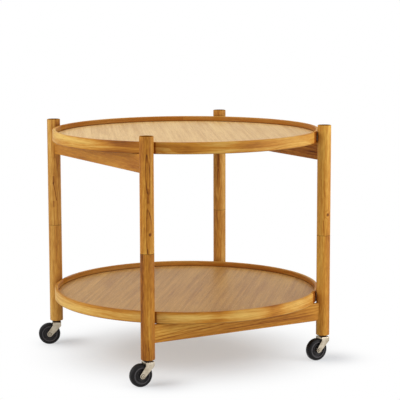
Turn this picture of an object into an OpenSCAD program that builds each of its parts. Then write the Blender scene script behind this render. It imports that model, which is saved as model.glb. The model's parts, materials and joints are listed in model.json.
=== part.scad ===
// Folding serving table on casters, with two round trays.
// Four round posts are each made of two halves that swivel on a steel pin. The upper
// rails join the posts at the left and at the right, the lower rails at the front and at
// the back, so the bare frame folds like a parallelogram. The trays lie on the rails and
// keep the frame square. Millimetres, +Z up, origin on the floor under the trays' centre.

/* [Trays] */
// Outer diameter of both trays
tray_d = 600; // [480:10:760]
// Height of the bent rim
rim_h = 25; // [23:1:32]
// Thickness of the bent rim
rim_t = 8; // [6:0.5:12]
// Radius of the rim's long edges
rim_round = 2; // [0.5:0.5:2.5]
// Depth of the tray, from the rim's top to the panel
tray_depth = 12; // [9:0.5:14]
// Thickness of the veneered panel
panel_t = 6; // [4:0.5:8]
// How far the panel's tongue reaches into the rim's groove
groove_depth = 3; // [2:0.5:4]
// Step from the panel's faces to its tongue
tongue_step = 1; // [0.5:0.25:1.5]
// Height of the lower tray's underside above the floor
lower_tray_z = 131; // [124:1:180]
// Rise from the lower tray to the upper tray
tray_spacing = 359; // [300:1:420]
// Gap between a tray and the posts
tray_gap = 0.8; // [0.4:0.1:3]

/* [Posts] */
// Diameter of the posts
post_d = 30; // [26:1:40]
// Radius of the posts' end edges
post_round = 1.5; // [0.5:0.5:3]
// Height of the post tops above the upper tray's rim
post_rise = 14; // [6:1:40]
// Height of the swivel joint above the floor
swivel_z = 283; // [240:1:360]
// Diameter of the swivel pins
pin_d = 10; // [8:0.5:12]
// Length of the swivel pin in each half of the post
pin_reach = 30; // [20:1:36]
// Diameter of the thrust washer in the swivel joint
washer_d = 25; // [18:1:25]
// Thickness of the thrust washer
washer_t = 0.6; // [0.4:0.1:1.5]

/* [Rails] */
// Height of the rails
rail_h = 40; // [30:1:44]
// Thickness of the rails
rail_t = 10; // [9:1:16]
// Radius of the rails' long edges
rail_round = 2.5; // [0.5:0.5:3]
// How far the tenon reaches into the post
tenon_depth = 8; // [5:0.5:8]
// Thickness of the tenon
tenon_t = 7; // [5:0.5:8]
// Step from the rail's edges to the tenon
tenon_step = 5; // [3:1:8]

/* [Casters] */
// Diameter of the wheels
wheel_d = 50; // [44:1:60]
// Width of the tyres
tyre_w = 17; // [14:0.5:18]
// Radial thickness of the tyres
tyre_t = 6.5; // [5:0.5:7]
// Radius of the tyres' shoulders
tyre_round = 6; // [3:0.5:7]
// Distance from the swivel axis back to the axle
trail = 17; // [16:0.5:20]
// Direction of each caster's trail: front left, front right, back right, back left
caster_turn = [176, 180, 176, 158]; // [0:1:360]
// Thickness of the fork's sheet steel
fork_t = 2; // [1.5:0.25:2.5]
// Inner width of the fork
fork_inner_w = 20; // [19:0.5:24]
// Length of the fork's top plate
fork_l = 19.4; // [18:0.2:22]
// Height at which the fork's back edge starts to slope, below its top
fork_back_drop = 8; // [6:0.5:12]
// Height at which the fork's front edge starts to slope, below its top
fork_front_drop = 9.5; // [8:0.5:16]
// Radius of the fork's rounded ends
fork_end_r = 6; // [5:0.5:8]
// Inner radius of the fork's bends
fork_bend_r = 0.5; // [0.25:0.25:1]
// Gap between the wheel and the fork's top plate
fork_clear = 1.5; // [1:0.1:3]
// Width of the wheel's web
web_w = 9; // [6:0.5:12]
// Wall of the wheel's hub
hub_wall = 3.5; // [2:0.25:4]
// Width of the ring that is moulded on the web
ring_w = 12; // [10:0.5:13]
// Radial thickness of that ring
ring_t = 2; // [1:0.25:2.5]
// Radial thickness of the wheel's rim
rim_band = 3; // [2:0.25:4]
// Diameter of the axle
axle_d = 5; // [4:0.5:6]
// Diameter of the axle's riveted heads
axle_head_d = 7; // [6.5:0.5:10]
// Thickness of the axle's riveted heads
axle_head_t = 1.2; // [0.8:0.2:2]
// Diameter of the hollow in each end of the axle
axle_hollow_d = 3; // [2:0.25:3]
// Depth of that hollow
axle_hollow_h = 2; // [1:0.5:6]
// Diameter of the stem
stem_d = 8; // [7:0.5:8]
// Length of the stem in the post
stem_reach = 28; // [20:1:28]
// Diameter of the stem's riveted head under the fork's plate
stem_head_d = 11; // [10:0.5:12]
// Thickness of the stem's riveted head
stem_head_t = 1.6; // [1:0.2:2]
// Outer diameter of the sleeve that holds the stem
sleeve_d = 11; // [10.5:0.5:12]
// Diameter of the sleeve's flange
sleeve_flange_d = 20; // [16:1:22]
// Thickness of the sleeve's flange, let into the post
sleeve_flange_t = 1.2; // [0.8:0.2:2]
// Outer diameter of the ball race
race_d = 18; // [17:0.5:20]
// Wall of the ball race
race_wall = 1.2; // [0.8:0.1:1.4]
// Diameter of the balls
ball_d = 2; // [1.5:0.25:2.25]
// Number of balls in each race
ball_count = 12; // [6:1:14]

/* [Fits] */
// Gap under each tray, where it lies on the rails
seat_gap = 0.2; // [0.1:0.05:0.5]
// Radial clearance of parts that turn on each other
run_gap = 0.05; // [0.02:0.01:0.1]
// Gap between flat faces that turn past each other
face_gap = 0.2; // [0.1:0.05:0.4]
// Gap of glued wood joints
glue_gap = 0.05; // [0.02:0.01:0.1]
// Smoothness of round parts
$fn = 96; // [48:8:160]

/* [Hidden] */
CORNERS = ["front_left", "front_right", "back_right", "back_left"];
SIGNS = [[-1, -1], [1, -1], [1, 1], [-1, 1]];
CORNER_PARTS = [
    "upper_post", "lower_post", "swivel_pin", "swivel_washer",
    "caster_sleeve", "caster_stem", "caster_race", "caster_balls",
    "caster_fork", "caster_axle", "caster_wheel", "caster_tyre"
];
SHARED_PARTS = [
    "left_upper_rail", "right_upper_rail", "front_lower_rail", "back_lower_rail",
    "upper_tray_rim", "upper_tray_panel", "lower_tray_rim", "lower_tray_panel"
];

OAK = "#B5803F";
OAK_RIM = "#C1904F";
VENEER = "#D9B98C";
STEEL = "#B9B2A2";
DARK_STEEL = "#4A3B22";
RUBBER = "#1E1C1C";
NYLON = "#454142";

// Places that follow from the sizes above
post_r = post_d / 2;
post_ring_r = tray_d / 2 + tray_gap + post_r;
post_place = post_ring_r / sqrt(2);
upper_tray_z = lower_tray_z + tray_spacing;
post_top = upper_tray_z + rim_h + post_rise;
upper_rail_z = upper_tray_z - seat_gap - rail_h;
lower_rail_z = lower_tray_z - seat_gap - rail_h;

// The caster, from the floor up
axle_z = wheel_d / 2;
plate_z = wheel_d + fork_clear;
plate_top = plate_z + fork_t;
race_z = plate_top + face_gap;
race_h = ball_d + race_wall;
post_bottom = race_z + race_h;
fork_w = fork_inner_w + 2 * fork_t;
hub_w = fork_inner_w - 2 * face_gap;
rim_r = wheel_d / 2 - tyre_t;
ball_ring_r = (stem_d + race_d) / 4;
upper_post_z = swivel_z + washer_t + face_gap / 2;

// Space that a cutting shape runs past what it cuts
past = 1;
// How far the fork's sloping edges end inside its round ends
blend = 0.05;

// A rectangle from corner low to corner high, with rounded corners
module rounded_rect(low, high, r) {
    translate([low[0] + r, low[1]]) square([high[0] - low[0] - 2 * r, high[1] - low[1]]);
    translate([low[0], low[1] + r]) square([high[0] - low[0], high[1] - low[1] - 2 * r]);
    for (x = [low[0] + r, high[0] - r]) {
        for (y = [low[1] + r, high[1] - r]) {
            translate([x, y]) circle(r);
        }
    }
}

// Half of the outline of a round bar from z0 to z1, rounded at the ends that are asked for
module bar_outline(r, z0, z1, round_r, round_low, round_high) {
    square_low = round_low ? z0 + round_r : z0;
    square_high = round_high ? z1 - round_r : z1;
    translate([0, z0]) square([r - round_r, z1 - z0]);
    translate([0, square_low]) square([r, square_high - square_low]);
    if (round_low) {
        translate([r - round_r, z0 + round_r]) circle(round_r);
    }
    if (round_high) {
        translate([r - round_r, z1 - round_r]) circle(round_r);
    }
}

// Moves what follows from the origin to a post's axis
module at_post(corner) {
    translate([SIGNS[corner][0] * post_place, SIGNS[corner][1] * post_place, 0]) children();
}

// Turns a caster's parts, drawn with the trail along +X, to their resting direction
module at_caster(corner) {
    at_post(corner) rotate([0, 0, caster_turn[corner]]) children();
}

// Turns a half outline round the axle: its X is the radius, its Y runs along the axle
module round_the_axle(corner) {
    at_caster(corner) translate([trail, 0, axle_z]) rotate([90, 0, 0]) rotate_extrude() children();
}

// The mortise in a post at the origin for a rail that comes in along +X, turned by angle
module mortise(rail_z, angle) {
    mortise_h = rail_h - 2 * (tenon_step - glue_gap);
    rotate([0, 0, angle])
        translate([
            post_r - tenon_depth - glue_gap,
            -tenon_t / 2 - glue_gap,
            rail_z + tenon_step - glue_gap
        ])
            cube([tenon_depth + past + post_r, tenon_t + 2 * glue_gap, mortise_h]);
}

// Upper half of a post: the upper rail's mortise, and a blind bore that turns on the pin
module upper_post(corner) {
    rail_angle = SIGNS[corner][1] < 0 ? 90 : -90;
    color(OAK) at_post(corner) difference() {
        rotate_extrude() bar_outline(post_r, upper_post_z, post_top, post_round, false, true);
        mortise(upper_rail_z, rail_angle);
        translate([0, 0, upper_post_z - past])
            cylinder(r = pin_d / 2 + run_gap, h = past + pin_reach + face_gap);
    }
}

// Lower half of a post: the lower rail's mortise, the pin's bore and the caster sleeve's bore
module lower_post(corner) {
    rail_angle = SIGNS[corner][0] < 0 ? 0 : 180;
    color(OAK) at_post(corner) difference() {
        rotate_extrude() bar_outline(post_r, post_bottom, swivel_z, post_round, true, false);
        mortise(lower_rail_z, rail_angle);
        translate([0, 0, swivel_z - pin_reach])
            cylinder(r = pin_d / 2 + glue_gap, h = pin_reach + past);
        translate([0, 0, post_bottom - past])
            cylinder(r = sleeve_d / 2 + glue_gap, h = past + stem_reach + glue_gap);
        translate([0, 0, post_bottom - past])
            cylinder(r = sleeve_flange_d / 2 + glue_gap, h = past + sleeve_flange_t + glue_gap);
    }
}

// Steel pin, fixed in the lower half and free to turn in the upper half
module swivel_pin(corner) {
    pin_chamfer = 1;
    pin_low = swivel_z - pin_reach + glue_gap;
    pin_high = upper_post_z + pin_reach;
    color(STEEL) at_post(corner) rotate_extrude() polygon([
        [0, pin_low],
        [pin_d / 2 - pin_chamfer, pin_low],
        [pin_d / 2, pin_low + pin_chamfer],
        [pin_d / 2, pin_high - pin_chamfer],
        [pin_d / 2 - pin_chamfer, pin_high],
        [0, pin_high]
    ]);
}

// Thin washer between the two halves of a post
module swivel_washer(corner) {
    color(DARK_STEEL) at_post(corner) translate([0, 0, swivel_z]) difference() {
        cylinder(d = washer_d, h = washer_t);
        translate([0, 0, -past]) cylinder(r = pin_d / 2 + run_gap, h = washer_t + 2 * past);
    }
}

// A rail along X at y = 0, coped to the two posts that it joins, with a tenon at each end
module rail(rail_z) {
    tenon_end = post_place - post_r + tenon_depth;
    tenon_h = rail_h - 2 * tenon_step;
    difference() {
        rotate([90, 0, 90])
            translate([0, 0, -post_place])
                linear_extrude(2 * post_place)
                    rounded_rect([-rail_t / 2, rail_z], [rail_t / 2, rail_z + rail_h], rail_round);
        for (side = [-1, 1]) {
            translate([side * post_place, 0, rail_z - past])
                cylinder(r = post_r + glue_gap, h = rail_h + 2 * past);
        }
    }
    for (side = [-1, 1]) {
        tenon_start = post_place - post_r - past;
        translate([
            side > 0 ? tenon_start : -tenon_end,
            -tenon_t / 2,
            rail_z + tenon_step
        ])
            cube([tenon_end - tenon_start, tenon_t, tenon_h]);
    }
}

// Upper rails run from front to back, and carry the upper tray
module upper_rail(side) {
    color(OAK) translate([side * post_place, 0, 0]) rotate([0, 0, 90]) rail(upper_rail_z);
}

// Lower rails run from left to right, and carry the lower tray
module lower_rail(side) {
    color(OAK) translate([0, side * post_place, 0]) rail(lower_rail_z);
}

// Bent rim with the panel's groove
module tray_rim(tray_z) {
    inner_r = tray_d / 2 - rim_t;
    groove_h = panel_t - 2 * (tongue_step - glue_gap);
    groove_z = rim_h - tray_depth - panel_t + tongue_step - glue_gap;
    color(OAK_RIM) translate([0, 0, tray_z]) rotate_extrude($fn = 2 * $fn) difference() {
        rounded_rect([inner_r, 0], [tray_d / 2, rim_h], rim_round);
        translate([inner_r - past, groove_z]) square([groove_depth + past, groove_h]);
    }
}

// Round veneered panel, held in the rim's groove by a tongue round its edge
module tray_panel(tray_z) {
    panel_r = tray_d / 2 - rim_t - glue_gap;
    tongue_t = panel_t - 2 * tongue_step;
    color(VENEER) translate([0, 0, tray_z + rim_h - tray_depth - panel_t]) {
        cylinder(r = panel_r, h = panel_t, $fn = 2 * $fn);
        translate([0, 0, tongue_step]) cylinder(r = panel_r + groove_depth, h = tongue_t, $fn = 2 * $fn);
    }
}

// Flanged steel sleeve, pressed into the post's lower end
module caster_sleeve(corner) {
    color(STEEL) at_post(corner) translate([0, 0, post_bottom]) difference() {
        union() {
            cylinder(d = sleeve_d, h = stem_reach);
            cylinder(d = sleeve_flange_d, h = sleeve_flange_t);
        }
        translate([0, 0, -past]) cylinder(r = stem_d / 2 + glue_gap, h = stem_reach + 2 * past);
    }
}

// Stem: it stands in the sleeve, and its riveted head carries the fork's plate
module caster_stem(corner) {
    stem_round = 0.5;
    head_top = plate_z - face_gap;
    color(STEEL) at_post(corner) rotate_extrude() {
        bar_outline(stem_d / 2, head_top - stem_head_t, post_bottom + stem_reach, stem_round, false, true);
        bar_outline(stem_head_d / 2, head_top - stem_head_t, head_top, stem_round, true, false);
    }
}

// Ball race: a dark cup round the stem, open towards the fork's plate
module caster_race(corner) {
    color(DARK_STEEL) at_post(corner) translate([0, 0, race_z]) difference() {
        cylinder(d = race_d, h = race_h);
        translate([0, 0, -past]) cylinder(r = stem_d / 2 + glue_gap, h = race_h + 2 * past);
        translate([0, 0, -past]) difference() {
            cylinder(r = race_d / 2 - race_wall, h = past + ball_d);
            cylinder(r = stem_d / 2 + glue_gap + race_wall, h = past + ball_d);
        }
    }
}

// Loose balls that run between the race and the fork's plate
module caster_balls(corner) {
    color(STEEL) at_post(corner) for (i = [0:ball_count - 1]) {
        rotate([0, 0, i * 360 / ball_count])
            translate([ball_ring_r, 0, race_z + ball_d / 2 - face_gap / 2])
                sphere(d = ball_d, $fn = 32);
    }
}

// Point where a line from p touches the circle round centre, on the side of sign
function tangent_point(p, centre, r, sign) =
    let (
        to = p - centre,
        away = norm(to),
        turn = atan2(to[1], to[0]) + sign * acos(r / away)
    )
    centre + r * [cos(turn), sin(turn)];

// Side view of the fork: X is the trail, Y is the height
module fork_side() {
    axle_at = [trail, axle_z];
    back_corner = [fork_l / 2, plate_top - fork_back_drop];
    front_corner = [-fork_l / 2, plate_top - fork_front_drop];
    polygon([
        [-fork_l / 2, plate_top],
        front_corner,
        tangent_point(front_corner, axle_at, fork_end_r - blend, 1),
        tangent_point(back_corner, axle_at, fork_end_r - blend, -1),
        back_corner,
        [fork_l / 2, plate_top]
    ]);
    translate(axle_at) circle(fork_end_r);
}

// End view of the fork: a channel that is open downwards
module fork_channel() {
    outer_bend_r = fork_bend_r + fork_t;
    low = axle_z - fork_end_r - outer_bend_r - past;
    difference() {
        rounded_rect([-fork_w / 2, low], [fork_w / 2, plate_top], outer_bend_r);
        rounded_rect([-fork_inner_w / 2, low - past], [fork_inner_w / 2, plate_z], fork_bend_r);
    }
}

// Fork of folded sheet steel, with the stem's hole and the axle's holes
module caster_fork(corner) {
    color(STEEL) at_caster(corner) difference() {
        intersection() {
            rotate([90, 0, 0])
                translate([0, 0, -fork_w / 2 - past])
                    linear_extrude(fork_w + 2 * past) fork_side();
            rotate([90, 0, 90])
                translate([0, 0, -fork_l / 2 - past])
                    linear_extrude(fork_l / 2 + trail + fork_end_r + 2 * past) fork_channel();
        }
        translate([0, 0, plate_z - past]) cylinder(r = stem_d / 2 + run_gap, h = fork_t + 2 * past);
        translate([trail, 0, axle_z])
            rotate([90, 0, 0])
                cylinder(r = axle_d / 2 + glue_gap, h = fork_w + 2 * past, center = true);
    }
}

// Axle, riveted over on both legs of the fork
module caster_axle(corner) {
    head_round = 0.4;
    end = fork_w / 2 + axle_head_t;
    color(STEEL) round_the_axle(corner) difference() {
        union() {
            translate([0, -fork_w / 2]) square([axle_d / 2, fork_w]);
            bar_outline(axle_head_d / 2, fork_w / 2, end, head_round, false, true);
            bar_outline(axle_head_d / 2, -end, -fork_w / 2, head_round, true, false);
        }
        translate([-past, end - axle_hollow_h]) square([past + axle_hollow_d / 2, axle_hollow_h + past]);
        translate([-past, -end - past]) square([past + axle_hollow_d / 2, axle_hollow_h + past]);
    }
}

// Moulded wheel: hub, web with two rings, and the rim that carries the tyre
module caster_wheel(corner) {
    hub_r = axle_d / 2 + hub_wall;
    ring_r = (hub_r + rim_r - rim_band) / 2;
    rim_step = 0.7;
    rim_w = tyre_w - 2 * rim_step;
    color(NYLON) round_the_axle(corner) difference() {
        union() {
            translate([0, -web_w / 2]) square([rim_r, web_w]);
            translate([0, -hub_w / 2]) square([hub_r, hub_w]);
            rounded_rect([ring_r - ring_t / 2, -ring_w / 2], [ring_r + ring_t / 2, ring_w / 2], ring_t / 4);
            translate([rim_r - rim_band, -rim_w / 2]) square([rim_band, rim_w]);
        }
        translate([-past, -hub_w / 2 - past]) square([past + axle_d / 2 + run_gap, hub_w + 2 * past]);
    }
}

// Tyre with rounded shoulders
module caster_tyre(corner) {
    color(RUBBER) round_the_axle(corner) difference() {
        rounded_rect([rim_r - tyre_round, -tyre_w / 2], [wheel_d / 2, tyre_w / 2], tyre_round);
        translate([rim_r - tyre_round - past, -tyre_w / 2 - past])
            square([tyre_round + past, tyre_w + 2 * past]);
    }
}

upper_rail(-1);  // left_upper_rail
upper_rail(1);  // right_upper_rail
lower_rail(-1);  // front_lower_rail
lower_rail(1);  // back_lower_rail
tray_rim(upper_tray_z);  // upper_tray_rim
tray_panel(upper_tray_z);  // upper_tray_panel
tray_rim(lower_tray_z);  // lower_tray_rim
tray_panel(lower_tray_z);  // lower_tray_panel
for (corner = [0:3]) {
    upper_post(corner);
    lower_post(corner);
    swivel_pin(corner);
    swivel_washer(corner);
    caster_sleeve(corner);
    caster_stem(corner);
    caster_race(corner);
    caster_balls(corner);
    caster_fork(corner);
    caster_axle(corner);
    caster_wheel(corner);
    caster_tyre(corner);
}
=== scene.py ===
import json
import math

import bmesh
import bpy
from mathutils import Euler, Matrix, Vector


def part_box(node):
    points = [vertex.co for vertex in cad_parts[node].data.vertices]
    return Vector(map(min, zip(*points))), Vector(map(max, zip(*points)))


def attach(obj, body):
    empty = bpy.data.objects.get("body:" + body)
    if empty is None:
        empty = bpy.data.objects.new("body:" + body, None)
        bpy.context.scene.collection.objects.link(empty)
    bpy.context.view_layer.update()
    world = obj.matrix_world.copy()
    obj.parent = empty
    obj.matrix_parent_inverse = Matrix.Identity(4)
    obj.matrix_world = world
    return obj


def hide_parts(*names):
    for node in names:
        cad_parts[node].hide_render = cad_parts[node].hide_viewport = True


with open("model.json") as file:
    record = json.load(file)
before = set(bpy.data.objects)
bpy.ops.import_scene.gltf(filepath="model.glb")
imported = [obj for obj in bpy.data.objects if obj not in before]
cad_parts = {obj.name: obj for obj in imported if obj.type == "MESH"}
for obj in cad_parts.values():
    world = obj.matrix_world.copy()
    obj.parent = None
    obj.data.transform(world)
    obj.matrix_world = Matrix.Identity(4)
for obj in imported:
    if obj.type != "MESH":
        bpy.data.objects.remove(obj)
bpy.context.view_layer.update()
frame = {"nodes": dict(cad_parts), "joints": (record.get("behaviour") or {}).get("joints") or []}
nodes = frame["nodes"]


# ---- Posts -----------------------------------------------------------------------------
# Four round posts, turned from oak and cut in two where they swivel. Each half has its own
# piece of wood. The oil deepens the honey colour, darkens the pores and soaks into the ends.

class Wire:
    """A socket in a node tree. Sums on wires add the Math nodes."""

    MIX_PLAIN, MIX_FULL, MIX_RESULT = 6, 7, 2
    SEED_STEPS = (7.3, 5.1, 3.7)

    def __init__(self, tree, socket=None):
        self.tree = tree
        self.socket = socket

    def plug(self, node, sockets):
        """Joins each wire to its socket of a node, and sets the others to plain values."""
        for key, value in sockets.items():
            if isinstance(value, Wire):
                self.tree.links.new(value.socket, node.inputs[key])
            else:
                node.inputs[key].default_value = value

    def make(self, kind, settings=None, sockets=None, out=0):
        """Adds any node: its settings and ramp stops first, then its sockets."""
        made = self.tree.nodes.new(kind)
        for key, value in (settings or {}).items():
            if key == "stops":
                ramp = made.color_ramp.elements
                while len(ramp) < len(value):
                    ramp.new(1.0)
                for stop, (place, colour) in zip(ramp, value):
                    stop.position = place
                    stop.color = (*colour, 1.0)
            else:
                setattr(made, key, value)
        self.plug(made, sockets or {})
        return Wire(self.tree, made.outputs[out] if made.outputs else None)

    def math(self, operation, *others):
        values = dict(enumerate((self, *others)))
        return self.make("ShaderNodeMath", {"operation": operation}, values)

    def __add__(self, other):
        return self.math("ADD", other)

    __radd__ = __add__

    def __mul__(self, other):
        return self.math("MULTIPLY", other)

    __rmul__ = __mul__

    def __sub__(self, other):
        return self.math("SUBTRACT", other)

    def __rsub__(self, other):
        return self.make("ShaderNodeMath", {"operation": "SUBTRACT"}, {0: other, 1: self})

    def __truediv__(self, other):
        return self.math("DIVIDE", other)

    def __pow__(self, other):
        return self.math("POWER", other)

    def distance(self, other):
        """How far the point (self, other) is from zero."""
        return (self * self + other * other) ** 0.5

    def between(self, low, high):
        """0 where the wire is at low, 1 at high, and smooth from one to the other."""
        sockets = {"Value": self, "From Min": low, "From Max": high}
        return self.make("ShaderNodeMapRange", {"interpolation_type": "SMOOTHSTEP"}, sockets)

    def hill(self):
        """1 where the wire is 0, and falling away smoothly on both sides."""
        return (self * self * -1.0).math("EXPONENT")

    def swing(self):
        """A noise's distance from its middle."""
        return self - 0.5

    def mix(self, plain, full):
        """The colour plain where the wire is 0, and full where it is 1."""
        plain, full = [
            (*colour, 1.0) if isinstance(colour, tuple) else colour for colour in (plain, full)]
        sockets = {"Factor": self, self.MIX_PLAIN: plain, self.MIX_FULL: full}
        return self.make("ShaderNodeMix", {"data_type": "RGBA"}, sockets, self.MIX_RESULT)

    def noise(self, place, stretch, detail=2.0, roughness=0.5, seed=0.0):
        """Smooth noise on place, which stretch scales along each axis (per metre). Each seed
        moves it to another place."""
        moved = tuple(seed * step for step in self.SEED_STEPS)
        sockets = {0: place, 1: stretch, 2: moved}
        scaled = self.make("ShaderNodeVectorMath", {"operation": "MULTIPLY_ADD"}, sockets)
        sockets = {"Vector": scaled, "Scale": 1.0, "Detail": detail, "Roughness": roughness}
        return self.make("ShaderNodeTexNoise", {}, sockets)

    def white_noise(self):
        """A random number, 0 to 1, for each whole number on the wire."""
        return self.make("ShaderNodeTexWhiteNoise", {"noise_dimensions": "1D"}, {"W": self})

    def ramp(self, stops):
        """The colour at the wire's value on a ramp of stops (place, colour)."""
        return self.make("ShaderNodeValToRGB", {"stops": stops}, {"Fac": self})

    def axes(self, place):
        """The three numbers of a vector."""
        split = self.make("ShaderNodeSeparateXYZ", {}, {"Vector": place})
        return [Wire(self.tree, output) for output in split.socket.node.outputs]

    def join(self, x, y, z):
        return self.make("ShaderNodeCombineXYZ", {}, {"X": x, "Y": y, "Z": z})

    def turned(self, place, centre, turn):
        """place as seen from a frame at centre that is turned by turn."""
        sockets = {"Vector": place, "Location": centre, "Rotation": turn}
        return self.make("ShaderNodeMapping", {"vector_type": "TEXTURE"}, sockets)


def srgb(*levels):
    """A colour read on a screen, 0 to 255, as the linear colour that a shader takes."""
    parts = [level / 255 for level in levels]
    return tuple(p / 12.92 if p <= 0.04045 else ((p + 0.055) / 1.055) ** 2.4 for p in parts)


def start_finish(name):
    """A new material, its first wire, its shader and the piece's own coordinates."""
    material = bpy.data.materials.new(name)
    material.use_nodes = True
    tree = material.node_tree
    tree.nodes.clear()
    wire = Wire(tree)
    shader = wire.make("ShaderNodeBsdfPrincipled")
    wire.make("ShaderNodeOutputMaterial", {}, {"Surface": shader})
    here = wire.make("ShaderNodeTexCoord")
    here.socket = here.socket.node.outputs["Object"]
    return material, wire, shader.socket.node, here


BUMP_STRENGTH = 0.25


def end_finish(wire, shader, colour, rough, relief, depth, gloss, metallic=0.0):
    """Joins a finish's colour, roughness, relief and gloss to its shader."""
    sockets = {"Height": relief, "Strength": BUMP_STRENGTH, "Distance": depth}
    bump = wire.make("ShaderNodeBump", {}, sockets)
    wire.plug(shader, {"Base Color": colour, "Roughness": rough, "Normal": bump,
                       "Specular IOR Level": gloss, "Metallic": metallic})


def dress(name, material):
    """Gives a CAD node its finish."""
    slots = nodes[name].data.materials
    slots.clear()
    slots.append(material)


GOLD = srgb(228, 175, 78)
HONEY = srgb(198, 133, 46)
BROWN = srgb(154, 90, 24)
PORE = srgb(98, 51, 12)
# Painted contact shade, where the posts and the rims touch.
CONTACT_SHADE = srgb(130, 56, 10)
OILED = [(0.0, PORE), (0.22, BROWN), (0.60, HONEY), (1.0, GOLD)]
FADED = [(0.0, PORE), (0.22, srgb(158, 99, 40)), (0.60, srgb(199, 142, 62)),
         (1.0, srgb(228, 182, 98))]
EVEN = 0.65
OAK_GLOSS = 0.14
OAK_RELIEF = 0.0004

# How closely the layers of the figure lie: twice across the grain and once along it.
FIBRES = (620, 620, 14)
STREAKS = (170, 170, 4)
MOTTLES = (300, 300, 55)
DOTS = (1500, 1500, 42)
PATCHES = (24, 24, 5)
DRIFT = (14, 14, 5)
WAVER = (70, 70, 12)

# How much each layer changes the shade.
STREAK_DEPTH = 0.8
MOTTLE_DEPTH = 0.75
FIBRE_DEPTH = 0.4
PATCH_DEPTH = 1.8
RING_DEPTH = 0.14
LINE_DEPTH = 0.55
DOT_DARK = 0.4

# Where in a year's ring its band of pores is whole, where it starts to thin and where it
# ends, and the share of the pores that lie outside it.
BAND_WHOLE, BAND_THINS, BAND_ENDS = 0.08, 0.10, 0.62
STRAY_PORES = 0.25


def figure(wire, grain, heart, ring, seed, shade, lines, bold, clouds, patch_size, ramp):
    """The colour, roughness and relief of oak, from the distance of the wood to the tree's
    heart. Each year's ring opens with a band of wide pores, which shows as a dark line that
    ends in dashes, and then runs out into dense pale wood. lines weighs these lines, bold
    the fine streaks and clouds the broad patches."""
    count = heart / ring
    number = count.math("FLOOR")
    within = count - number
    year = (number + seed).white_noise()
    fibres = wire.noise(grain, FIBRES, 3.0, 0.65, seed)
    streaks = wire.noise(grain, STREAKS, 3.0, 0.6, seed + 1)
    mottles = wire.noise(grain, MOTTLES, 2.0, 0.6, seed + 4)
    patches = wire.noise(grain, patch_size, 2.0, 0.5, seed + 2)
    dots = wire.noise(grain, DOTS, 1.0, 0.5, seed + 3).between(0.58, 0.70)
    band = within.between(0.0, BAND_WHOLE) * (1.0 - within.between(BAND_THINS, BAND_ENDS))
    strength = year * year * 0.75 + 0.25
    dashes = mottles * 1.2 + 0.3
    line = band * strength * dashes * lines
    fine = streaks.swing() * (STREAK_DEPTH * bold) + mottles.swing() * (MOTTLE_DEPTH * bold)
    shade = shade + (fine + fibres.swing() * FIBRE_DEPTH)
    shade = shade + patches.swing() * (PATCH_DEPTH * clouds) + year.swing() * RING_DEPTH
    shade = shade - line * LINE_DEPTH
    pores = dots * (band * (1.0 - STRAY_PORES) + STRAY_PORES)
    colour = (pores * DOT_DARK).mix(shade.ramp(ramp), PORE)
    rough = fibres * 0.16 + 0.44 + line * 0.10
    relief = fibres * 0.5 - pores * 0.8 - line * 0.5
    return colour, rough, relief


KNOT_LONG = 0.75
KNOT_DEEP = 0.05
KNOT_SWELL = 0.004
KNOT_DARK = 0.6
RING_WAVER = 0.0016
VEIN_WAVER = 0.002
VEIN_FADE = 0.08
FACE_FADE = 0.004
# How far the painted contact shade darkens the wood.
CONTACT_SHADE_DARK = 0.8
END_STARTS, END_WHOLE = 0.75, 0.98
END_DARK = 0.85
END_ROUGH = 0.95


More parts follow.
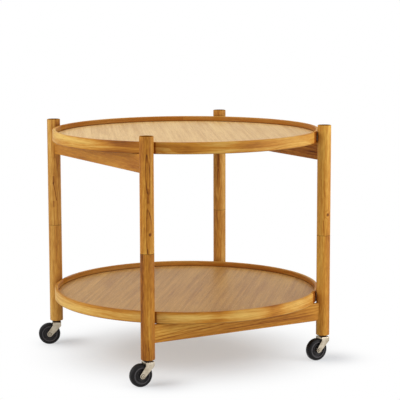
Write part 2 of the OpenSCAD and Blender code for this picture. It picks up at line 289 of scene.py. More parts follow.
def oak(name, centre, turn, pith, tilt, tone, lines, seed, knots=(), veins_and_side_shades=(), touch_shades=(),
        ring=0.0036, bold=1.0, clouds=0.5, wander=0.018, ramp=OILED):
    """Solid oak whose grain runs along Z of a frame at centre, turned by turn. The tree's
    heart lies at pith, aside of the grain frame's axis, and leans by tilt. Each knot is
    (height, x, y, radius). Each vein is (low, high, side at low, side at high, bow, half
    width, depth), a dark or pale line on the side that X faces; the broad ones along a
    post's edges are painted shade and painted light. Each contact shade is (point, radius):
    painted shade round the place where a rim touches the wood."""
    material, wire, shader, here = start_finish(name)
    grain = wire.turned(here, centre, turn)
    x, y, z = wire.axes(grain)
    drift = wire.noise(grain, DRIFT, seed=seed)
    waver = wire.noise(grain, WAVER, seed=seed)
    heart = (x + z * tilt[0] - pith[0]).distance(y + z * tilt[1] - pith[1])
    heart = heart + drift.swing() * wander + waver.swing() * RING_WAVER
    shade = EVEN + tone
    for height, knot_x, knot_y, radius in knots:
        up, in_x, in_y = (z - height) * KNOT_LONG, x - knot_x, y - knot_y
        reach = (up * up + in_x * in_x * KNOT_DEEP + in_y * in_y) ** 0.5 / radius
        heart = heart + (reach * 0.5).hill() * KNOT_SWELL
        shade = shade - (1.0 - reach.between(0.5, 1.5)) * KNOT_DARK
    # Veins, and the broad bands down a post's edges that paint shade and light.
    for low, high, side_low, side_high, bow, half_width, depth in veins_and_side_shades:
        rise = (z - low) / (high - low)
        side = rise * (side_high - side_low + bow * 4) - rise * rise * (bow * 4) + side_low
        across = (y - side + waver.swing() * VEIN_WAVER) / half_width
        ends = rise.between(0.0, VEIN_FADE) * (1.0 - rise.between(1.0 - VEIN_FADE, 1.0))
        shade = shade - across.hill() * (ends * x.between(0.0, FACE_FADE)) * depth
    colour, rough, relief = figure(
        wire, grain, heart, ring, seed, shade, lines, bold, clouds, PATCHES, ramp)
    gloss = OAK_GLOSS
    # Painted contact shade round each place where a rim touches the post: darker, matt and
    # without gloss.
    for point, radius in touch_shades:
        away = wire.make(
            "ShaderNodeVectorMath", {"operation": "DISTANCE"}, {0: here, 1: point}, "Value")
        near = (away / radius).hill()
        colour = (near * CONTACT_SHADE_DARK).mix(colour, CONTACT_SHADE)
        rough = rough + near * (1.0 - rough)
        gloss = gloss * (1.0 - near)
    facing = wire.make("ShaderNodeNewGeometry", {}, {}, "Normal")
    axis = Euler(turn).to_matrix() @ Vector((0, 0, 1))
    square_on = wire.make(
        "ShaderNodeVectorMath", {"operation": "DOT_PRODUCT"}, {0: facing, 1: axis}, "Value")
    end = square_on.math("ABSOLUTE").between(END_STARTS, END_WHOLE)
    colour = (end * END_DARK).mix(colour, PORE)
    rough = rough + end * (END_ROUGH - rough)
    end_finish(wire, shader, colour, rough, relief, OAK_RELIEF, gloss * (1.0 - end))
    return material


CORNERS = ["front_left", "front_right", "back_right", "back_left"]
# How far the painted contact shade reaches round where a post touches a rim.
CONTACT_SHADE_RADIUS = 0.015
LOWER_TURN = 0.12
LOWER_LINES = 0.8
LOWER_SEED = 10
split_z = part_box("front_left_swivel_washer")[0].z
post_wood = {
    # turn about the post, pith (x, y), tilt (x, y), tone above and below, lines, colours
    "front_left": (math.radians(-120), (0.060, 0.003), (0.006, 0.004), 0.02, -0.18, 0.4, OILED),
    "front_right": (math.radians(-118), (0.070, 0.020), (0.008, -0.006), 0.11, 0.06, 0.5, OILED),
    "back_right": (math.radians(-120), (0.060, -0.020), (0.010, 0.006), -0.10, -0.02, 0.6, FADED),
    "back_left": (math.radians(-118), (0.050, 0.012), (-0.010, 0.008), -0.02, -0.02, 0.6, FADED),
}
post_knots = {
    "front_left": [(0.042, 0.0134, 0.0070, 0.0027)],
    "front_right": [(0.0475, 0.0138, 0.0070, 0.0027)],
}
post_veins_and_side_shades = {
    "front_left": [
        (0.124, 0.212, 0.0024, 0.0012, -0.0036, 0.0010, 0.38),
        (0.122, 0.212, 0.0040, 0.0012, 0.0040, 0.0010, 0.38),
        (0.190, 0.222, 0.0014, 0.0014, 0.0, 0.0020, 0.12),
        (0.106, 0.140, 0.0030, 0.0030, 0.0, 0.0026, 0.26),
        (0.042, 0.096, 0.0098, 0.0026, 0.0030, 0.0010, 0.45),
        (-0.002, 0.100, 0.0016, 0.0020, -0.0022, 0.0013, 0.42),
        (0.000, 0.060, -0.0065, -0.0055, 0.0, 0.0014, 0.25),
        (0.001, 0.012, 0.0012, 0.0010, 0.0, 0.0013, 0.45),
        # A broad dark band down one edge of both halves: painted shade.
        (-0.260, 0.250, -0.0125, -0.0125, 0.0, 0.0050, 0.28),
        (-0.176, -0.150, -0.0012, -0.0018, 0.0, 0.0013, 0.24),
        (-0.206, -0.180, -0.0006, -0.0012, 0.0, 0.0011, 0.30),
        (-0.228, -0.196, 0.0014, 0.0002, 0.0006, 0.0010, 0.28),
        (-0.222, -0.190, -0.0052, -0.0058, 0.0, 0.0010, 0.18),
    ],
    "front_right": [
        # Broad bands down the edges of both halves: painted shade on one, painted light on the
        # other.
        (-0.260, 0.250, 0.0125, 0.0125, 0.0, 0.0055, 0.16),
        (-0.260, 0.250, -0.0125, -0.0125, 0.0, 0.0055, -0.20),
        (0.086, 0.125, 0.0015, -0.0005, -0.0016, 0.0011, 0.20),
        (0.005, 0.036, -0.0030, -0.0020, 0.0, 0.0011, 0.26),
    ],
    "back_left": [
        (0.056, 0.102, 0.0048, -0.0024, 0.0004, 0.0010, 0.58),
        (0.042, 0.058, -0.0016, -0.0016, 0.0, 0.0022, 0.30),
        (0.096, 0.116, -0.0021, -0.0021, 0.0, 0.0022, 0.28),
        (0.116, 0.190, -0.0010, 0.0010, 0.0020, 0.0016, 0.22),
        # A broad dark band down one edge: partly the wood's figure and partly painted shade.
        (0.105, 0.245, 0.0100, 0.0080, 0.0, 0.0050, 0.14),
    ],
    "back_right": [
        (0.105, 0.145, -0.0034, -0.0030, 0.0, 0.0024, 0.16),
        (0.055, 0.105, -0.0060, -0.0040, -0.0012, 0.0011, 0.22),
        (0.055, 0.105, -0.0010, -0.0030, 0.0016, 0.0011, 0.22),
        # A broad pale band down one edge: painted light.
        (-0.010, 0.200, 0.0105, 0.0105, 0.0, 0.0055, -0.30),
    ],
}
for seed, corner in enumerate(CORNERS):
    turn, pith, tilt, tone_above, tone_below, lines, ramp = post_wood[corner]
    low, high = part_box(f"{corner}_lower_post")
    middle = (low + high) / 2
    centre = (middle.x, middle.y, split_z)
    post_radius = (high.x - low.x) / 2
    by_tray = 1 - post_radius / math.hypot(middle.x, middle.y)
    for half, half_turn, tone, half_lines, half_seed, knots, clouds in (
        ("upper", turn, tone_above, lines, seed, post_knots.get(corner, []), 0.4),
        ("lower", turn + LOWER_TURN, tone_below, lines * LOWER_LINES, seed + LOWER_SEED, [], 0.5),
    ):
        rim_low, rim_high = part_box(f"{half}_tray_rim")
        # Painted contact shade where the post touches this tray's rim.
        touch = (middle.x * by_tray, middle.y * by_tray, (rim_low.z + rim_high.z) / 2)
        dress(f"{corner}_{half}_post", oak(
            f"oak_{corner}_{half}", centre, (0, 0, half_turn), pith, tilt, tone, half_lines,
            half_seed, knots, post_veins_and_side_shades[corner], [(touch, CONTACT_SHADE_RADIUS)], clouds=clouds, ramp=ramp))


# ---- Rails -----------------------------------------------------------------------------
# Four flat oak rails, sawn with the figure running along them, coped to the posts and
# tenoned and glued into them. Their long edges are rounded over.

RAIL_SEED = 20
RAIL_WANDER = 0.010


def laid(along, facing):
    """The turn of a grain frame: Z runs along the grain and X looks out of the face."""
    along, facing = Vector(along), Vector(facing)
    return tuple(Matrix((facing, along.cross(facing), along)).transposed().to_euler())


LENGTHWAYS = laid((0, 1, 0), (-1, 0, 0))
ACROSS = laid((1, 0, 0), (0, -1, 0))
rail_wood = {
    # turn of the grain frame, pith, tilt, tone, lines, boldness, ring
    # The upper rails are toned darker, partly for their own colour and partly as painted shade
    # under the upper tray.
    "left_upper_rail": (LENGTHWAYS, (-0.080, -0.010), (-0.020, -0.03), -0.15, 0.25, 0.6, 0.006),
    "right_upper_rail": (LENGTHWAYS, (0.004, -0.060), (-0.01, -0.02), -0.18, 1.2, 0.8, 0.0075),
    "front_lower_rail": (ACROSS, (-0.004, 0.055), (-0.01, 0.060), -0.04, 0.65, 0.7, 0.0065),
    "back_lower_rail": (ACROSS, (-0.020, -0.060), (0.015, 0.02), -0.02, 0.8, 0.8, 0.006),
}
rail_veins = {
    "front_lower_rail": [
        (-0.215, -0.030, 0.0150, -0.0030, 0.0, 0.0009, 0.38),
        (-0.215, -0.095, 0.0085, -0.0050, 0.0, 0.0009, 0.34),
        (-0.170, -0.070, 0.0060, 0.0010, 0.0, 0.0008, 0.24),
        (-0.046, 0.205, 0.0105, 0.0040, 0.0008, 0.0009, 0.30),
        (0.046, 0.208, 0.0060, -0.0020, 0.0, 0.0008, 0.24),
    ],
    "right_upper_rail": [
        (-0.200, -0.020, 0.0080, 0.0030, 0.0, 0.0010, 0.30),
        (-0.200, -0.020, -0.0030, -0.0080, 0.0, 0.0010, 0.26),
    ],
}
for seed, (name, wood) in enumerate(rail_wood.items()):
    turn, pith, tilt, tone, lines, bold, ring = wood
    low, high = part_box(name)
    dress(name, oak(
        f"oak_{name}", tuple((low + high) / 2), turn, pith, tilt, tone, lines, seed + RAIL_SEED,
        veins_and_side_shades=rail_veins.get(name, []), ring=ring, bold=bold, wander=RAIL_WANDER))


# ---- Swivel pins and washers -----------------------------------------------------------
# A ground steel pin stands in each lower half and turns in the upper one. A thin browned
# steel washer between the halves takes the weight and shows as a dark line.

STEEL_CLOUDS = (90, 90, 90)
TURNED_BRUSH = (40, 40, 900)
STEEL_GLOSS = 0.5
STEEL_RELIEF = 0.0001


def brushed(wire, here, brush, light, dark):
    """The clouds, the brushing and the colour of a steel surface."""
    clouds = wire.noise(here, STEEL_CLOUDS, 3.0)
    brushing = wire.noise(here, brush)
    return clouds, brushing, (clouds * 0.6 + brushing * 0.4).between(0.3, 0.7).mix(dark, light)


def metal(name, light, dark, roughness, metallic=1.0):
    """Turned steel with fine brushing and a slightly clouded skin."""
    material, wire, shader, here = start_finish(name)
    clouds, brushing, colour = brushed(wire, here, TURNED_BRUSH, light, dark)
    rough = roughness + clouds.swing() * 0.15 + brushing.swing() * 0.1
    end_finish(wire, shader, colour, rough, brushing, STEEL_RELIEF, STEEL_GLOSS, metallic)
    return material


ground_steel = metal("ground_steel", srgb(205, 203, 198), srgb(170, 168, 165), 0.3)
browned_steel = metal("browned_steel", srgb(66, 48, 34), srgb(38, 27, 19), 0.45, 0.7)
for corner in CORNERS:
    dress(f"{corner}_swivel_pin", ground_steel)
    dress(f"{corner}_swivel_washer", browned_steel)


# ---- Tray rims -------------------------------------------------------------------------
# Each rim is one strip of pale oak, steamed, bent round and closed with a long glued scarf.
# It is grooved inside for the panel and its edges are rounded over. Painted shade darkens
# its inner wall, the corner by the panel, its lower edge and where the posts touch it.

RIM_THICK = 0.008
RIM_ROUND = 0.002
RIM_ARC_STEPS = 5
RIM_STEPS = 288
GROOVE_DEEP = 0.003
GROOVE_HIGH = 0.0041
SCARF_LONG = 0.070
SHARP_EDGE = math.radians(40)
PALE = srgb(230, 186, 98)
RIM_OILED = [(0.0, PORE), (0.22, BROWN), (0.57, HONEY), (1.0, PALE)]
RIM_RING = 0.0046
RIM_DRIFT = (20, 30, 5)
RIM_WAVER = (70, 90, 12)
RIM_PATCHES = (30, 44, 3)
RIM_LINES, RIM_BOLD, RIM_CLOUDS = 0.35, 0.5, 0.9
RIM_SLANT_UP, RIM_SLANT_OUT = 0.8, 0.7
RIM_WANDER = 0.034
# Painted shade: the inner wall darker, a dark line in the corner by the panel and a dark line
# along the lower edge.
INNER_SHADE_DARK = 0.6
BY_PANEL, CORNER_SHADE_DARK = 0.004, 0.8
UNDER_EDGE, UNDER_SHADE_DARK = (0.0002, 0.0022), 0.7
GLUE_LINE, GLUE_DARK = (0.0005, 0.0015), 0.6

# Where the posts touch the rim, the angle and the half width of each patch of painted
# contact shade, in degrees.
CONTACT_SHADES = [(-134.6, 2.5), (-47.9, 2.6), (44.4, 2.5), (135.5, 2.6)]
CONTACT_SHADE_EDGE = (0.85, 1.15)


def start_tree(name, sizes):
    """A Geometry Nodes tree with a named input for each size, and the wires from them."""
    tree = bpy.data.node_groups.new(name, "GeometryNodeTree")
    tree.interface.new_socket("Mesh", in_out="OUTPUT", socket_type="NodeSocketGeometry")
    for label, kind in sizes.items():
        tree.interface.new_socket(label, in_out="INPUT", socket_type=f"NodeSocket{kind}")
    wire = Wire(tree)
    entry = wire.make("NodeGroupInput").socket.node
    given = {output.name: Wire(tree, output) for output in entry.outputs if output.name}
    return tree, wire, given


def end_tree(wire, mesh, finish):
    """Makes the tree's result real and gives it its finish."""
    mesh = wire.make("GeometryNodeRealizeInstances", {}, {0: mesh})
    mesh = wire.make("GeometryNodeSetMaterial", {}, {"Geometry": mesh, "Material": finish})
    wire.make("NodeGroupOutput", {}, {0: mesh})


def grow(name, tree, values):
    """The piece that a tree makes from its named inputs, as a plain mesh."""
    piece = bpy.data.objects.new(name, bpy.data.meshes.new(name))
    bpy.context.scene.collection.objects.link(piece)
    modifier = piece.modifiers.new("tree", "NODES")
    modifier.node_group = tree
    for item in tree.interface.items_tree:
        if item.in_out == "INPUT":
            modifier[item.identifier] = values[item.name]
    evaluated = piece.evaluated_get(bpy.context.evaluated_depsgraph_get())
    mesh = bpy.data.meshes.new_from_object(evaluated)
    piece.modifiers.clear()
    piece.data = mesh
    mesh.shade_smooth()
    mesh.set_sharp_from_angle(angle=SHARP_EDGE)
    return piece


def rounded(corners, steps):
    """A closed outline through corners (x, y, radius), each rounded by an arc."""
    points = []
    for index, (x, y, radius) in enumerate(corners):
        corner = Vector((x, y))
        before = (Vector(corners[index - 1][:2]) - corner).normalized()
        after = (Vector(corners[(index + 1) % len(corners)][:2]) - corner).normalized()
        if radius == 0:
            points.append(corner)
            continue
        half = before.angle(after) / 2
        centre = corner + (before + after).normalized() * (radius / math.sin(half))
        start = corner + before * (radius / math.tan(half)) - centre
        sweep = start.angle_signed(corner + after * (radius / math.tan(half)) - centre)
        for step in range(steps + 1):
            points.append(centre + Matrix.Rotation(-sweep * step / steps, 2) @ start)
    return points


def outline(name, points):
    """A closed flat curve, for a tree to sweep."""
    curve = bpy.data.curves.new(name, "CURVE")
    curve.dimensions = "2D"
    spline = curve.splines.new("POLY")
    spline.points.add(len(points) - 1)
    for place, point in zip(spline.points, points):
        place.co = (*point, 0, 1)
    spline.use_cyclic_u = True
    made = bpy.data.objects.new(name, curve)
    bpy.context.scene.collection.objects.link(made)
    return made


def swept_ring():
    """A section swept round a circle: its X is the distance from the circle's axis and its Y
    runs along that axis. The ring is then turned and put in its place."""
    sizes = {"Section": "Object", "Radius": "Float", "Steps": "Int", "Turn": "Rotation",
             "Place": "Vector", "Finish": "Material"}
    tree, wire, given = start_tree("swept_ring", sizes)
    circle = wire.make("GeometryNodeCurvePrimitiveCircle", {"mode": "RADIUS"},
                       {"Resolution": given["Steps"], "Radius": given["Radius"]})
    inward = wire.join(given["Radius"] * -1.0, 0.0, 0.0)
    section = wire.make("GeometryNodeObjectInfo", {}, {"Object": given["Section"]}, "Geometry")
    section = wire.make("GeometryNodeTransform", {}, {"Geometry": section, "Translation": inward})
    mesh = wire.make("GeometryNodeCurveToMesh", {}, {"Curve": circle, "Profile Curve": section})
    mesh = wire.make("GeometryNodeTransform", {}, {"Geometry": mesh, "Rotation": (math.pi, 0, 0)})
    mesh = wire.make("GeometryNodeTransform", {}, {
        "Geometry": mesh, "Translation": given["Place"], "Rotation": given["Turn"]})
    end_tree(wire, mesh, given["Finish"])
    return tree


def rim_oak(name, low, high, panel_top, seam, tone, patches):
    """Oak bent round: the grain runs along the circle and starts anew at the scarf. Each
    patch is (angle, half width, tone) and makes the strip lighter or darker there: partly
    the wood's own tone and partly painted light and shade."""
    material, wire, shader, here = start_finish(name)
    turned = wire.turned(here, (0, 0, low.z), (0, 0, seam))
    x, y, z = wire.axes(turned)
    radius = x.distance(y)
    angle = y.math("ARCTAN2", x)
    slope = SCARF_LONG / high.x / RIM_THICK
    laps = (angle + (high.x - radius) * slope) / math.tau
    run = (laps - laps.math("FLOOR")) * math.tau
    strip = wire.join(radius, z, run * high.x)
    drift = wire.noise(strip, RIM_DRIFT, seed=seam)
    waver = wire.noise(strip, RIM_WAVER, seed=seam)
    heart = z * RIM_SLANT_UP + radius * RIM_SLANT_OUT
    heart = heart + drift.swing() * RIM_WANDER + waver.swing() * VEIN_WAVER

    def bearing(place, half_width):
        """How far round the rim lies from place, in half widths (both in degrees)."""
        turns = (angle - (math.radians(place) - seam)) / math.tau + 0.5
        return (turns - turns.math("FLOOR") - 0.5) * (360 / half_width)

    shade = EVEN + tone
    # Patches round the rim: partly the wood's own tone and partly painted light and shade.
    for place, half_width, change in patches:
        shade = bearing(place, half_width).hill() * change + shade
    colour, rough, relief = figure(
        wire, strip, heart, RIM_RING, seam, shade, RIM_LINES, RIM_BOLD, RIM_CLOUDS, RIM_PATCHES,
        RIM_OILED)
    # Painted shade on the inner wall, in the corner by the panel and along the lower edge.
    inner = 1.0 - radius.between(high.x - RIM_THICK, high.x - RIM_THICK + RIM_ROUND)
    colour = (inner * INNER_SHADE_DARK).mix(colour, BROWN)
    panel_corner_shade = 1.0 - (z - (panel_top - low.z)).between(0.0, BY_PANEL)
    colour = (inner * panel_corner_shade * CORNER_SHADE_DARK).mix(colour, PORE)
    lower_edge_shade = 1.0 - z.between(*UNDER_EDGE)
    colour = (lower_edge_shade * UNDER_SHADE_DARK).mix(colour, PORE)
    outside = radius.between(high.x - RIM_ROUND, high.x - RIM_ROUND / 2)
    gloss = OAK_GLOSS
    # Painted contact shade where the posts touch the rim's outside: darker, matt and without
    # gloss.
    for place, half_width in CONTACT_SHADES:
        near = 1.0 - bearing(place, half_width).math("ABSOLUTE").between(*CONTACT_SHADE_EDGE)
        colour = (near * outside * CONTACT_SHADE_DARK).mix(colour, CONTACT_SHADE)
        rough = rough + near * (1.0 - rough)
        gloss = gloss * (1.0 - near * outside)
    glue = 1.0 - run.math("MINIMUM", math.tau - run).between(*GLUE_LINE)
    colour = (glue * GLUE_DARK).mix(colour, PORE)
    end_finish(wire, shader, colour, rough, relief, OAK_RELIEF, gloss)
    return material


ring_tree = swept_ring()
rims = {
    # where the scarf is, tone, patches of wood tone and painted light and shade
    "upper": (math.radians(75), 0.0, [
        (-147, 12, -0.48), (-120, 7, -0.26), (-104, 7, 0.12), (-95, 6, -0.12)]),
    "lower": (math.radians(20), 0.04, [
        (-155, 14, -0.20), (-107, 3, -0.16), (-98, 6, 0.10), (-81, 5, -0.34), (-66, 7, 0.10)]),
}
for level, (seam, tone, patches) in rims.items():
    low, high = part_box(f"{level}_tray_rim")
    panel_low, panel_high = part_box(f"{level}_tray_panel")
    rim_high = high.z - low.z
    groove_low = (panel_high.z + panel_low.z - GROOVE_HIGH) / 2 - low.z
    groove_high = groove_low + GROOVE_HIGH
    inside = high.x - RIM_THICK
    groove = inside + GROOVE_DEEP
    section = outline(f"{level}_rim_section", rounded([
        (inside, 0, RIM_ROUND), (high.x, 0, RIM_ROUND), (high.x, rim_high, RIM_ROUND),
        (inside, rim_high, RIM_ROUND), (inside, groove_high, 0), (groove, groove_high, 0),
        (groove, groove_low, 0), (inside, groove_low, 0),
    ], RIM_ARC_STEPS))
    finish = rim_oak(f"oak_{level}_rim", low, high, panel_high.z, seam, tone, patches)
    rim = grow(f"{level}_bent_rim", ring_tree, {
        "Section": section, "Radius": high.x, "Steps": RIM_STEPS, "Turn": (0, 0, 0),
        "Place": (0, 0, low.z), "Finish": finish})
    bpy.data.objects.remove(section)
    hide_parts(f"{level}_tray_rim")
    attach(rim, f"{level}_tray")


# ---- Tray panels -----------------------------------------------------------------------
# A round board faced with slip-matched leaves of oak veneer, which lie paler than the
# solid wood under a clear satin lacquer. Its tongue is held in the rim's groove.

LEAF_WIDTH = 0.118
LEAF_SLIP = 0.8
LEAF_APART = 0.37
LEAF_EDGE = (0.031, 0.012)
VENEER_BANDS = (2.2, 90, 9)
VENEER_FIBRES = (22, 700, 9)
VENEER_PATCHES = (5, 14, 3)
VENEER_PORES = (60, 1700, 9)
VENEER_FLECKS = (150, 620, 9)
PORE_TINT = srgb(140, 96, 56)
FLECK_TINT = srgb(250, 224, 172)
VENEER_RELIEF = 0.0002
VENEER_GLOSS = 0.3


def veneer(name, height, lay, light, dark, stripes):
    """Straight-grained leaves of veneer side by side, their grain turned by lay."""
    material, wire, shader, here = start_finish(name)
    turned = wire.turned(here, (*LEAF_EDGE, height), (0, 0, lay))
    x, y, z = wire.axes(turned)
    leaf = (y / LEAF_WIDTH).math("FLOOR")
    shift = leaf.white_noise()
    sheet = wire.join(x + shift * LEAF_SLIP, y, leaf * LEAF_APART + z)
    bands = wire.noise(sheet, VENEER_BANDS, 3.0, 0.7)
    fibres = wire.noise(sheet, VENEER_FIBRES, 3.0, 0.65)
    patches = wire.noise(sheet, VENEER_PATCHES)
    pores = wire.noise(sheet, VENEER_PORES, 1.0).between(0.60, 0.72)
    flecks = wire.noise(sheet, VENEER_FLECKS, 2.0, 0.6).between(0.56, 0.72)
    stripe = (bands.swing() * 1.2 + fibres.swing() * 0.8) * stripes
    shade = stripe + patches.swing() * 0.6 + shift * 0.15 + 0.45
    colour = (pores * 0.3).mix(shade.ramp([(0.15, dark), (0.8, light)]), PORE_TINT)
    colour = (flecks * 0.4).mix(colour, FLECK_TINT)
    rough = fibres * 0.12 + 0.42
    end_finish(wire, shader, colour, rough, fibres - pores, VENEER_RELIEF, VENEER_GLOSS)
    return material


for level, lay, light, dark, stripes in (
    ("upper", math.radians(64), srgb(234, 195, 128), srgb(204, 157, 90), 1.3),
    ("lower", math.radians(50), srgb(218, 172, 94), srgb(180, 129, 62), 1.2),
):
    low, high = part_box(f"{level}_tray_panel")
    dress(f"{level}_tray_panel", veneer(f"veneer_{level}", high.z, lay, light, dark, stripes))


# ---- Caster forks, stems and balls -----------------------------------------------------
# Light-duty swivel casters: a fork folded from nickelled sheet steel turns on a riveted
# stem, and a ring of loose balls runs in the browned race between the fork and the post.

BALL_COUNT = 12
BALL_RADIUS = 0.001
BALL_RING = 0.0065
BALL_SUBDIVISIONS = 3
RIVET = 0.0035
GREASE_GAP, GREASE_WIDE = 0.0003, 0.0007
GREASE = srgb(52, 44, 36)
SPECKS = (1400, 1400, 1400)
SHEET_BRUSH = (60, 60, 500)
NICKEL_LIGHT, NICKEL_DARK = (208, 197, 177), (168, 155, 134)
# The back left and front right forks are a little darker.
FORK_DARKENING = {"back_left": 0.93, "front_right": 0.94}
rolls = {joint["child"]: joint for joint in frame["joints"]}


def facing_along(axis):
    """The turn that points Z along axis."""
    return tuple(Vector(axis).to_track_quat("Z", "Y").to_euler())


def ball_ring():
    """Balls spread evenly round a circle."""
    sizes = {"Count": "Int", "Ring": "Float", "Ball": "Float", "Place": "Vector",
             "Finish": "Material"}
    tree, wire, given = start_tree("ball_ring", sizes)
    circle = wire.make("GeometryNodeMeshCircle", {}, {
        "Vertices": given["Count"], "Radius": given["Ring"]})
    ball = wire.make("GeometryNodeMeshIcoSphere", {}, {
        "Radius": given["Ball"], "Subdivisions": BALL_SUBDIVISIONS})
    balls = wire.make("GeometryNodeInstanceOnPoints", {}, {"Points": circle, "Instance": ball})
    balls = wire.make("GeometryNodeTransform", {}, {
        "Geometry": balls, "Translation": given["Place"]})
    end_tree(wire, balls, given["Finish"])
    return tree


def plated(name, place, axis, light, dark):
    """Nickelled sheet with dull specks and a dark ring of old grease round the rivet."""
    material, wire, shader, here = start_finish(name)
    clouds, brushing, colour = brushed(wire, here, SHEET_BRUSH, light, dark)
    specks = wire.noise(here, SPECKS).between(0.62, 0.75)
    colour = (specks * 0.25).mix(colour, dark)
    x, y = wire.axes(wire.turned(here, place, facing_along(axis)))[:2]
    past_rivet = x.distance(y) - RIVET
    grease = ((past_rivet - GREASE_GAP) / GREASE_WIDE).hill() * (clouds * 0.6 + 0.6)
    colour = grease.math("MINIMUM", 1.0).mix(colour, GREASE)
    rough = clouds.swing() * 0.15 + 0.36 + grease * 0.25
    end_finish(wire, shader, colour, rough, brushing, STEEL_RELIEF, STEEL_GLOSS, 1.0)
    return material


ball_tree = ball_ring()
for corner in CORNERS:
    roll = rolls[f"{corner}_roller"]
    dull = FORK_DARKENING.get(corner, 1.0)
    light, dark = [
        srgb(*(level * dull for level in levels)) for levels in (NICKEL_LIGHT, NICKEL_DARK)]
    nickel = plated(f"nickelled_{corner}_fork", roll["pos_m"], roll["axis"], light, dark)
    for part in ("sleeve", "stem", "fork", "axle"):
        dress(f"{corner}_caster_{part}", nickel)
    dress(f"{corner}_caster_race", browned_steel)
    low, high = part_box(f"{corner}_caster_balls")
    balls = grow(f"{corner}_ball_ring", ball_tree, {
        "Count": BALL_COUNT, "Ring": BALL_RING, "Ball": BALL_RADIUS, "Place": (low + high) / 2,
        "Finish": ground_steel})
    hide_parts(f"{corner}_caster_balls")
    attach(balls, "lower_frame_front" if corner.startswith("front") else "lower_frame_back")


# ---- Caster wheels and tyres -----------------------------------------------------------
# The wheel is moulded in dark grey nylon: a hub, a web with a raised ring on each side and
# a rim, on which a black rubber tyre with rounded shoulders is moulded in turn.

TYRE_RADIUS = 0.025
TYRE_HALF = 0.0085
SHOULDER = 0.006
SEAT_RADIUS = 0.0185
BORE_RADIUS = 0.00255
HUB_RADIUS = 0.006
HUB_HALF = 0.0098
WEB_HALF = 0.0045
RING_IN, RING_OUT, RING_HALF = 0.00975, 0.01175, 0.006
BAND_RADIUS, BAND_HALF = 0.0155, 0.0078
BEAD = 0.0003
EDGE, CORNER, FILLET = 0.0004, 0.0006, 0.0008
WHEEL_ARC_STEPS = 4
TYRE_ARC_STEPS = 9
WHEEL_STEPS = 96
PALER_RING_RADIUS, PALER_RING_WIDE = 0.0168, 0.0013
PALER_RING = srgb(88, 84, 86)
SKIN = (900, 900, 900)
DUST = (70, 70, 70)
TURNING = (1300, 1, 1)
MOULDED_ROUGH = 0.5
MOULDED_RELIEF = 0.0002


def both_sides(half):
    """One side of a wheel's section and its mirror image, as one closed outline."""
    other = [(radius, -along, round_off) for radius, along, round_off in reversed(half)]
    return (half + other)[::-1]


wheel_section = outline("wheel_section", rounded(both_sides([
    (BORE_RADIUS, HUB_HALF, 0), (HUB_RADIUS, HUB_HALF, CORNER), (HUB_RADIUS, WEB_HALF, FILLET),
    (RING_IN, WEB_HALF, CORNER), (RING_IN, RING_HALF, EDGE), (RING_OUT, RING_HALF, EDGE),
    (RING_OUT, WEB_HALF, CORNER), (BAND_RADIUS, WEB_HALF, FILLET), (BAND_RADIUS, BAND_HALF, EDGE),
    (SEAT_RADIUS, BAND_HALF, 0),
]), WHEEL_ARC_STEPS))
tyre_section = outline("tyre_section", rounded(both_sides([
    (SEAT_RADIUS, TYRE_HALF, 0), (SEAT_RADIUS + BEAD, TYRE_HALF, 0),
    (TYRE_RADIUS, TYRE_HALF, SHOULDER),
]), TYRE_ARC_STEPS))


def moulded(name, place, axis, light, dark, bands, gloss):
    """Moulded nylon or rubber: a fine eggshell skin and dust, and with bands also faint
    rings round the axle and a paler ring."""
    material, wire, shader, here = start_finish(name)
    skin = wire.noise(here, SKIN)
    clouds = wire.noise(here, DUST, 3.0)
    x, y = wire.axes(wire.turned(here, place, facing_along(axis)))[:2]
    reach = x.distance(y)
    rings = wire.noise(wire.join(reach, 0.0, 0.0), TURNING, 1.0)
    shade = clouds * 0.55 + skin * 0.25 + 0.10 + rings.swing() * bands
    colour = shade.between(0.3, 0.7).mix(dark, light)
    # A paler ring round the face of the wheel.
    lighter_ring = ((reach - PALER_RING_RADIUS) / PALER_RING_WIDE).hill() * (clouds * 1.2) * bands
    colour = lighter_ring.math("MINIMUM", 1.0).mix(colour, PALER_RING)
    rough = clouds.swing() * 0.12 + MOULDED_ROUGH
    end_finish(wire, shader, colour, rough, skin, MOULDED_RELIEF, gloss)
    return material


moulded_parts = {
    # section, finish, light, dark, bands, gloss, slot
    "wheel": (wheel_section, "dark_nylon", srgb(46, 42, 42), srgb(22, 20, 20), 1.0, 0.3, "nylon"),
    "tyre": (tyre_section, "black_rubber", srgb(20, 17, 17), srgb(10, 8, 8), 0.0, 0.2,
             "rubber_tread"),
}
for corner in CORNERS:
    roll = rolls[f"{corner}_roller"]
    place, axis = roll["pos_m"], roll["axis"]
    for part, (section, finish, light, dark, bands, gloss, slot) in moulded_parts.items():
        skin = moulded(f"{finish}_{corner}", place, axis, light, dark, bands, gloss)
        piece = grow(f"{corner}_moulded_{part}", ring_tree, {
            "Section": section, "Radius": TYRE_RADIUS, "Steps": WHEEL_STEPS,
            "Turn": facing_along(axis), "Place": place, "Finish": skin})
        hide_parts(f"{corner}_caster_{part}")
        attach(piece, f"{corner}_roller")
for section in (wheel_section, tyre_section):
    bpy.data.objects.remove(section)


# ---- Floor, light and camera -----------------------------------------------------------
# A pale studio floor that runs out into white, with soft light from the left, the front and
# above. The table's shade fades out round it, and the camera looks down a little.

WHITE = (1.0, 1.0, 1.0, 1.0)
FLOOR_RADIUS = 4.0
FLOOR_TINT = (0.84, 0.89, 0.955, 1.0)
FLOOR_ROUGH, FLOOR_GLOSS = 0.8, 0.2
SHADOW_WASH = 0.36
WASH_STARTS, WASH_ENDS = 0.10, 0.40
WHEEL_SHADE_X, WHEEL_SHADE_Y = 0.045, -0.005
WHEEL_SHADE_WIDE, WHEEL_SHADE_DARK = 0.055, 0.6
AMBIENT = 0.46

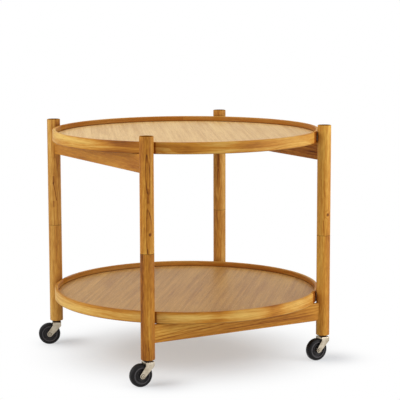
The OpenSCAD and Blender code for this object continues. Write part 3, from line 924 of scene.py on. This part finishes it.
floor_mesh = bpy.data.meshes.new("floor")
floor_bm = bmesh.new()
bmesh.ops.create_circle(floor_bm, cap_ends=True, segments=64, radius=FLOOR_RADIUS)
floor_bm.to_mesh(floor_mesh)
floor_bm.free()
floor = bpy.data.objects.new("floor", floor_mesh)
bpy.context.scene.collection.objects.link(floor)


def seen_plainly(wire):
    """1 on what the camera sees, straight, mirrored or through, and 0 on what lights."""
    rays = wire.make("ShaderNodeLightPath").socket.node.outputs
    camera_ray, glossy_ray, clear_ray = [
        Wire(wire.tree, rays[f"Is {kind} Ray"]) for kind in ("Camera", "Glossy", "Transmission")]
    return (camera_ray + glossy_ray + clear_ray).math("MINIMUM", 1.0)


material, wire, shader, here = start_finish("pale_floor")
wire.plug(shader, {"Base Color": FLOOR_TINT, "Roughness": FLOOR_ROUGH,
                   "Specular IOR Level": FLOOR_GLOSS})
x, y = wire.axes(here)[:2]
away = x.distance(y).between(WASH_STARTS, WASH_ENDS) * (1.0 - SHADOW_WASH) + SHADOW_WASH
for corner in CORNERS:
    foot_x, foot_y = rolls[f"{corner}_roller"]["pos_m"][:2]
    from_shade = (x - (foot_x + WHEEL_SHADE_X)).distance(y - (foot_y + WHEEL_SHADE_Y))
    away = away * (1.0 - (from_shade / WHEEL_SHADE_WIDE).hill() * WHEEL_SHADE_DARK)
glow = wire.make("ShaderNodeEmission", {}, {"Color": WHITE, "Strength": 1.0})
matt = Wire(wire.tree, shader.outputs[0])
surface = wire.make("ShaderNodeMixShader", {}, {0: seen_plainly(wire) * away, 1: matt, 2: glow})
output = [node for node in wire.tree.nodes if node.type == "OUTPUT_MATERIAL"][0]
wire.plug(output, {"Surface": surface})
floor_mesh.materials.append(material)

world = bpy.data.worlds.new("studio")
bpy.context.scene.world = world
world.use_nodes = True
world.node_tree.nodes.clear()
wire = Wire(world.node_tree)
strength = seen_plainly(wire) * (1.0 - AMBIENT) + AMBIENT
back = wire.make("ShaderNodeBackground", {}, {"Color": WHITE, "Strength": strength})
wire.make("ShaderNodeOutputWorld", {}, {"Surface": back})

LIGHTS_AIM = Vector((0, 0, 0.3))
softboxes = {
    # place, size, power
    "left_light": ((-1.45, -0.05, 0.85), 0.8, 8.0),
    "front_light": ((1.05, -1.25, 0.55), 1.0, 12),
    "top_light": ((0, 0.2, 2.3), 1.2, 12),
}
for name, (place, size, power) in softboxes.items():
    lamp = bpy.data.lights.new(name, "AREA")
    lamp.shape = "SQUARE"
    lamp.size = size
    lamp.energy = power
    softbox = bpy.data.objects.new(name, lamp)
    bpy.context.scene.collection.objects.link(softbox)
    softbox.location = place
    softbox.rotation_euler = (LIGHTS_AIM - Vector(place)).to_track_quat("-Z", "Y").to_euler()

SENSOR_WIDTH = 36
PICTURE_PIXELS = 400
FOCAL_PIXELS = 1578.4
CAMERA_PLACE = Vector((-1.7709, -3.0697, 0.8675))
AIM_RIGHT = 0.0088
PITCH_DOWN = 0.1447
ROLL = -0.0026
FAR_AWAY = 50
camera_data = bpy.data.cameras.new("camera")
camera_data.sensor_width = SENSOR_WIDTH
camera_data.lens = SENSOR_WIDTH * FOCAL_PIXELS / PICTURE_PIXELS
camera_data.clip_end = FAR_AWAY
camera = bpy.data.objects.new("camera", camera_data)
bpy.context.scene.collection.objects.link(camera)
bpy.context.scene.camera = camera
heading = math.atan2(-CAMERA_PLACE.x, -CAMERA_PLACE.y)
look = Euler((math.pi / 2 - PITCH_DOWN, 0, -(heading + AIM_RIGHT)), "XYZ").to_matrix()
camera.location = CAMERA_PLACE
camera.rotation_mode = "XYZ"
camera.rotation_euler = (look @ Matrix.Rotation(ROLL, 3, "Z")).to_euler()

bpy.context.scene.view_settings.view_transform = "Standard"
